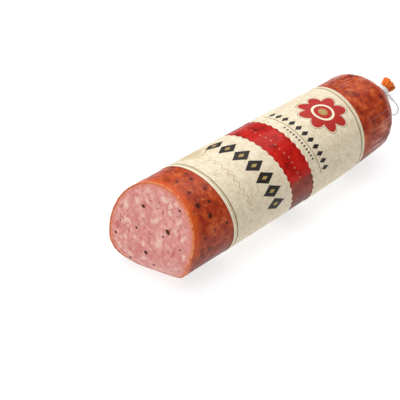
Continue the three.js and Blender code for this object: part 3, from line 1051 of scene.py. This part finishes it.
def painted_streak_light_and_shade(angle, from_neck):
    """Painted streaks of highlight and shade in the drawn-up film, 1 where a painted highlight lies
    and -1 where painted shade lies: long at the sides, and short where the film lies smooth."""
    radius = BODY_RADIUS
    fan = np.stack([radius * np.cos(angle), radius * np.sin(angle), STREAK_STRETCH * from_neck], axis=-1)
    wave = 0.6 * random_field(fan, 2.0, 31) + 0.5 * random_field(fan, 1.1, 32)
    streak = np.clip((wave - 0.04) / 0.26, 0, 1) - np.clip((-wave - 0.14) / 0.26, 0, 1)
    side_on = np.sin(angle - SMOOTH_SIDE_ANGLE) ** 2
    near = np.clip(1 - from_neck / 15, 0, 1)
    far = np.clip(1.5 * side_on * np.clip(1 - from_neck / 50, 0, 1) ** 0.5, 0, 1)
    return streak * np.maximum(near, far)


def pleats(x, angle, from_neck):
    """How high (mm) the folds of the gathered casing stand at each point."""
    rng = np.random.default_rng(11)
    height = np.zeros(angle.shape)
    radius = body_radius(x)
    for pleat in range(PLEAT_COUNT):
        place = 2 * math.pi * (pleat + 0.35 * rng.uniform(-1, 1)) / PLEAT_COUNT
        side_on = math.sin(place - SMOOTH_SIDE_ANGLE) ** 2
        reach = (SHORT_PLEAT + (LONG_PLEAT - SHORT_PLEAT) * side_on) * rng.uniform(0.7, 1.2)
        drift = rng.uniform(-0.012, 0.012)
        tall = rng.uniform(0.4, 0.75)
        offset = (angle - place - drift * from_neck + math.pi) % (2 * math.pi) - math.pi
        width = 0.40 + 0.026 * from_neck
        fade = np.clip(1 - from_neck / reach, 0, 1) ** 0.8
        height = height + tall * fade * np.exp(-((offset * radius / width) ** 2))
    return height


TAIL_VALLEYS = [  # angle and width (degrees) and depth (share of the deepest) of the tail's folds
    (20, 14, 0.6),
    (58, 11, 0.30),
    (88, 9, 0.35),
    (122, 8, 0.75),
    (146, 8, 0.65),
    (168, 9, 1.0),
    (190, 8, 0.8),
    (212, 10, 0.9),
    (240, 12, 0.6),
    (268, 14, 0.7),
    (300, 14, 0.6),
    (335, 12, 0.5),
]
TAIL_FOLD_DEPTH = 1.25
FAR_FROM_CUT = 200.0


def tail_valley(angle):
    """How deep in a fold of the tail each angle lies, from 0 to 1."""
    valley = np.zeros(angle.shape)
    for centre, width, depth in TAIL_VALLEYS:
        offset = (np.degrees(angle) - centre + 180) % 360 - 180
        valley = np.maximum(valley, depth * np.exp(-((offset / width) ** 2)))
    return valley


def tail_rows(sides):
    """Rings of the neck and the tail, out to its rim and back down inside, with two values: the
    painted shade of its folds, inside it and at the neck, and how much of the tail's colour each ring
    takes.
    """
    angle = turns(sides)
    valley = tail_valley(angle)
    ripple = 0.10 * np.cos(22 * angle) + 0.08 * np.cos(13 * angle + 1)
    rim_shift = 0.45 * np.cos(2 * (angle - math.radians(45))) - 0.35 * valley
    rows, crease_shades, shares = [], [], []
    for along, spare in ((1.0, 0.35), (1.7, 0.05), (2.4, -0.1), (4.0, -0.15), (5.2, -0.1)):
        rows.append(tail_point(along, GATHER_RADIUS + spare + ripple, angle))
        crease_shades.append(np.full(sides, 0.3))
        shares.append(np.full(sides, 0.25 if along < 5 else 0.8))
    for share in np.linspace(0, 1, 26):
        flare = GATHER_RADIUS + (TAIL_RADIUS - GATHER_RADIUS) * share**0.42
        radius = flare + ripple * (1 - share) - TAIL_FOLD_DEPTH * share**0.5 * valley
        along = TAIL_FLARE_START + (TAIL_LENGTH - 0.6 - TAIL_FLARE_START + rim_shift) * share
        rows.append(tail_point(along, radius, angle))
        # painted shade, deepest in the valleys of the folds
        crease_shades.append(np.clip(1.25 * valley - 0.15, 0, 1) * (1 - 0.35 * share))
        shares.append(np.ones(sides))
    for share in np.linspace(1, 0.1, 16):
        flare = GATHER_RADIUS + (TAIL_RADIUS - GATHER_RADIUS) * share**0.42
        radius = (flare - 0.3 - TAIL_FOLD_DEPTH * share**0.5 * valley) * (0.25 + 0.75 * share)
        along = TAIL_FLARE_START + 0.5 + (TAIL_LENGTH - 1.05 - TAIL_FLARE_START + rim_shift) * share
        rows.append(tail_point(along, radius, angle))
        crease_shades.append(np.full(sides, 0.75))
        shares.append(np.ones(sides))
    return np.array(rows), np.array(crease_shades), np.array(shares)


def add_casing():
    """Thin skin: inside wall, cut edge, outside wall, dome with folds, neck and pleated tail."""
    sides = BODY_SIDES
    angle = turns(sides)
    edge = skin(np.zeros(sides), angle, CASING_DEPTH)
    edge_x = cut_x(edge[:, 1], edge[:, 2])
    lip = 0.10 + 0.12 * random_field(edge, 4.0, 21) + 0.14 * random_field(edge, 1.3, 22)
    first_even = 26.0
    outside_x = []
    for share in np.linspace(0, 1, 30) ** 1.3:
        outside_x.append((edge_x - lip) * (1 - share) + first_even * share)
    for station in np.arange(first_even + 2, SHOULDER_X - 10, 2.0):
        outside_x.append(np.full(sides, station))
    dome_start = SHOULDER_X - 10
    profile_x = dome_start + (NECK_X - dome_start) * np.sin(0.5 * math.pi * np.linspace(0, 1, 400))
    profile_steps = np.hypot(np.diff(profile_x), np.diff(body_radius(profile_x)))
    profile_length = np.concatenate([[0], np.cumsum(profile_steps)])
    dome_x = np.interp(np.linspace(0, profile_length[-1], 95), profile_length, profile_x)
    outside_x += [np.full(sides, station) for station in dome_x]
    x = np.array(outside_x)
    whole_angle = np.broadcast_to(angle, x.shape)
    outside = skin(x, whole_angle, CASING_DEPTH)
    from_neck = profile_length[-1] - np.interp(x, profile_x, profile_length)
    from_neck = np.where(x < dome_start, profile_length[-1] + dome_start - x, from_neck)
    fold = pleats(x, whole_angle, from_neck)
    lumps = 0.13 * random_field(outside, 8.0, 8) + 0.06 * random_field(outside, 3.2, 9)
    on_dome = np.clip((x - SHOULDER_X + 12) / 14, 0, 1)
    bulge = 0.35 * random_field(outside, 16.0, 10) * on_dome * np.clip(from_neck / 8, 0, 1)
    pressed = np.clip((outside[..., 2] + REST_HEIGHT - 0.2) / 1.5, 0, 1)
    lift = (lumps * np.clip(from_neck / 5, 0, 1) + bulge) * pressed + fold
    outside = outside + normals(outside) * lift[..., None]

    inside_x = [*np.linspace(NECK_X - 0.3, SHOULDER_X, 14), 150.0, 60.0, 20.0, 0.0]
    inner = [skin(np.full(sides, station), angle, CASING_DEPTH + CASING_THICKNESS) for station in inside_x]
    inner[-1][:, 0] = cut_x(inner[-1][:, 1], inner[-1][:, 2]) - lip

    tail, tail_crease_shade, tail_share = tail_rows(sides)
    rows = np.concatenate([np.array(inner), outside, tail])
    tail_bottom = tail_point(TAIL_FLARE_START + 0.6, 0.0, 0.0)
    points = np.vstack([rows.reshape(-1, 3), inner[0].mean(axis=0), tail_bottom])
    faces = grid_faces(len(rows), sides) + end_caps(len(rows), sides)
    piece = make_piece("smoked_casing", points, faces, casing_finish(), ["casing"])

    def spread(outside_value, tail_value):
        """One number a vertex, in the order of the mesh: inside, outside, tail, end points."""
        unseen = np.zeros(len(inner) * sides)
        return np.concatenate([unseen, outside_value.ravel(), tail_value.ravel(), [0.0, 1.0]])

    from_cut = outside[..., 0] - cut_x(outside[..., 1], outside[..., 2])
    near_neck = np.clip(1 - from_neck / 2.5, 0, 1) * 0.3
    # painted streaks of highlight and shade on the dome, for the material
    streaks = painted_streak_light_and_shade(whole_angle, from_neck)
    nothing = np.zeros(tail_crease_shade.shape)
    put_values(piece, "from_cut", spread(from_cut, nothing + FAR_FROM_CUT))
    put_values(piece, "folds", spread(fold, nothing))
    put_values(piece, "streaks", spread(streaks, nothing))
    put_values(piece, "tail", spread(near_neck, tail_share))
    put_values(piece, "crease", spread(np.zeros(outside.shape[:2]), tail_crease_shade))


def edge_x(edge, angle):
    """Where a label's edge lies along the body."""
    at_centre, slope_y, slope_z = edge
    leaning = at_centre + slope_y * BODY_RADIUS * np.cos(angle)
    return leaning + slope_z * BODY_RADIUS * FLATTENING * np.sin(angle)


def scallop(angle):
    """How far the scallops carry an edge along the body."""
    return SCALLOP_HEIGHT * np.cos(SCALLOP_COUNT * angle)


def sleeve_grid(start, end, columns_angle, depth, rows):
    """Rows of points between two edges, at a depth."""
    grid = []
    for share in np.linspace(0, 1, rows):
        x = start * (1 - share) + end * share
        grid.append(skin(x, columns_angle, depth))
    return np.array(grid)


def add_label(name, first_edge, start_of, end_of, material, node):
    """A thin sleeve wrapped round the body, with gentle ripples of its own."""
    sides, rows = LABEL_SIDES, 36
    angle = turns(sides)
    start, end = start_of(angle), end_of(angle)
    outside = sleeve_grid(start, end, angle, 0.0, rows)
    ripple = 0.05 * random_field(outside, 14.0, 31) - 0.05
    pressed = np.clip((outside[..., 2] + REST_HEIGHT) / 1.5, 0, 1)
    outside = outside + normals(outside) * (ripple * pressed)[..., None]
    inside = sleeve_grid(start, end, angle, LABEL_THICKNESS, 3)[::-1]
    grid = np.concatenate([outside, inside])
    faces = grid_faces(len(grid), sides, closed_rows=True)
    piece = make_piece(name, grid.reshape(-1, 3), faces, material, [node])
    full_angle = np.append(angle, 2 * math.pi)
    around = (math.pi - full_angle) * BODY_RADIUS  # from the -Y side, over the top
    wide_start, wide_end = start_of(full_angle), end_of(full_angle)
    shares = np.concatenate([np.linspace(0, 1, rows), np.linspace(1, 0, 3)])
    from_start = shares[:, None] * (wide_end - wide_start)
    from_end = (1 - shares)[:, None] * (wide_end - wide_start)
    along = wide_start + from_start - edge_x(first_edge, full_angle)
    around_grid = np.broadcast_to(around, from_start.shape)
    put_map(piece, "wrap", np.stack([around_grid, along], axis=-1), sides)
    put_map(piece, "edges", np.stack([from_start, from_end], axis=-1), sides)


RED_BAND_LOW = math.radians(14.5)
RED_BAND_HIGH = math.radians(121)


def add_red_band():
    """A patch of film in the window, from the front side over the top."""
    columns, rows = 240, 14
    angle = np.linspace(math.pi - RED_BAND_HIGH, math.pi - RED_BAND_LOW, columns)
    tuck = 0.04
    start = edge_x(WINDOW_START, angle) + scallop(angle) + tuck
    end = edge_x(WINDOW_END, angle) + scallop(angle) - tuck
    outside = sleeve_grid(start, end, angle, 0.08, rows)
    inside = sleeve_grid(start, end, angle, LABEL_THICKNESS, rows)
    points = np.concatenate([outside, inside]).reshape(-1, 3)
    layer = rows * columns
    faces = []
    for row in range(rows - 1):
        for column in range(columns - 1):
            a = row * columns + column
            b, c, d = a + 1, a + columns + 1, a + columns
            faces.append((a, b, c, d))
            faces.append((layer + d, layer + c, layer + b, layer + a))
    for column in range(columns - 1):
        low, high = column, (rows - 1) * columns + column
        faces.append((low + 1, low, layer + low, layer + low + 1))
        faces.append((high, high + 1, layer + high + 1, layer + high))
    for row in range(rows - 1):
        left, right = row * columns, row * columns + columns - 1
        faces.append((left, left + columns, layer + left + columns, layer + left))
        faces.append((right + columns, right, layer + right, layer + right + columns))
    piece = make_piece("red_film", points, faces, red_band_finish(), ["label_red_band"])
    around = (math.pi - angle) * BODY_RADIUS
    layer_map = piece.data.uv_layers.new(name="wrap")
    shares = np.linspace(0, 1, rows)
    for polygon in piece.data.polygons:
        for loop, index in zip(polygon.loop_indices, polygon.vertices):
            row, column = divmod(index % layer, columns)
            layer_map.data[loop].uv = (around[column], shares[row] * (end[column] - start[column]))


def add_labels():
    add_label(
        "front_label",
        FRONT_LABEL_START,
        lambda angle: edge_x(FRONT_LABEL_START, angle),
        lambda angle: edge_x(WINDOW_START, angle) + scallop(angle),
        label_finish("front_label", front_pattern),
        "label_front",
    )
    add_label(
        "rear_label",
        WINDOW_END,
        lambda angle: edge_x(WINDOW_END, angle) + scallop(angle),
        lambda angle: edge_x(REAR_LABEL_END, angle),
        label_finish("rear_label", rear_pattern),
        "label_rear",
    )
    add_red_band()


# ---- studio ----
FLOOR_HALF = 3.0
WORLD_LIGHT = 0.2
LIGHT_TARGET = (0.0, 0.0, 0.02)
LIGHTS = [  # name, place, size (m) and watts
    ("overhead_softbox", (0.15, 0.25, 1.3), (1.8, 1.8), 27),
    ("left_softbox", (-1.1, 0.15, 0.7), (0.9, 0.9), 5),
]


def add_floor():
    mesh = bpy.data.meshes.new("floor")
    corners = [(x * FLOOR_HALF, y * FLOOR_HALF, 0) for x, y in ((-1, -1), (1, -1), (1, 1), (-1, 1))]
    mesh.from_pydata(corners, [], [(0, 1, 2, 3)])
    mesh.materials.append(floor_finish())
    floor = bpy.data.objects.new("floor", mesh)
    bpy.context.scene.collection.objects.link(floor)


def add_light(name, place, size, watts):
    light = bpy.data.objects.new(name, bpy.data.lights.new(name, "AREA"))
    light.data.shape = "RECTANGLE"
    light.data.size, light.data.size_y = size
    light.data.energy = watts
    light.location = place
    aim = Vector(LIGHT_TARGET) - Vector(place)
    light.rotation_euler = aim.to_track_quat("-Z", "Y").to_euler()
    bpy.context.scene.collection.objects.link(light)


def add_studio():
    add_floor()
    for light in LIGHTS:
        add_light(*light)
    world = bpy.data.worlds.new("studio")
    world.use_nodes = True
    background = world.node_tree.nodes["Background"]
    background.inputs["Color"].default_value = (1, 1, 1, 1)
    background.inputs["Strength"].default_value = WORLD_LIGHT
    bpy.context.scene.world = world
    bpy.context.scene.view_settings.view_transform = "Standard"


add_camera()
add_string()
add_meat()
add_pepper()
add_casing()
add_labels()
add_studio()
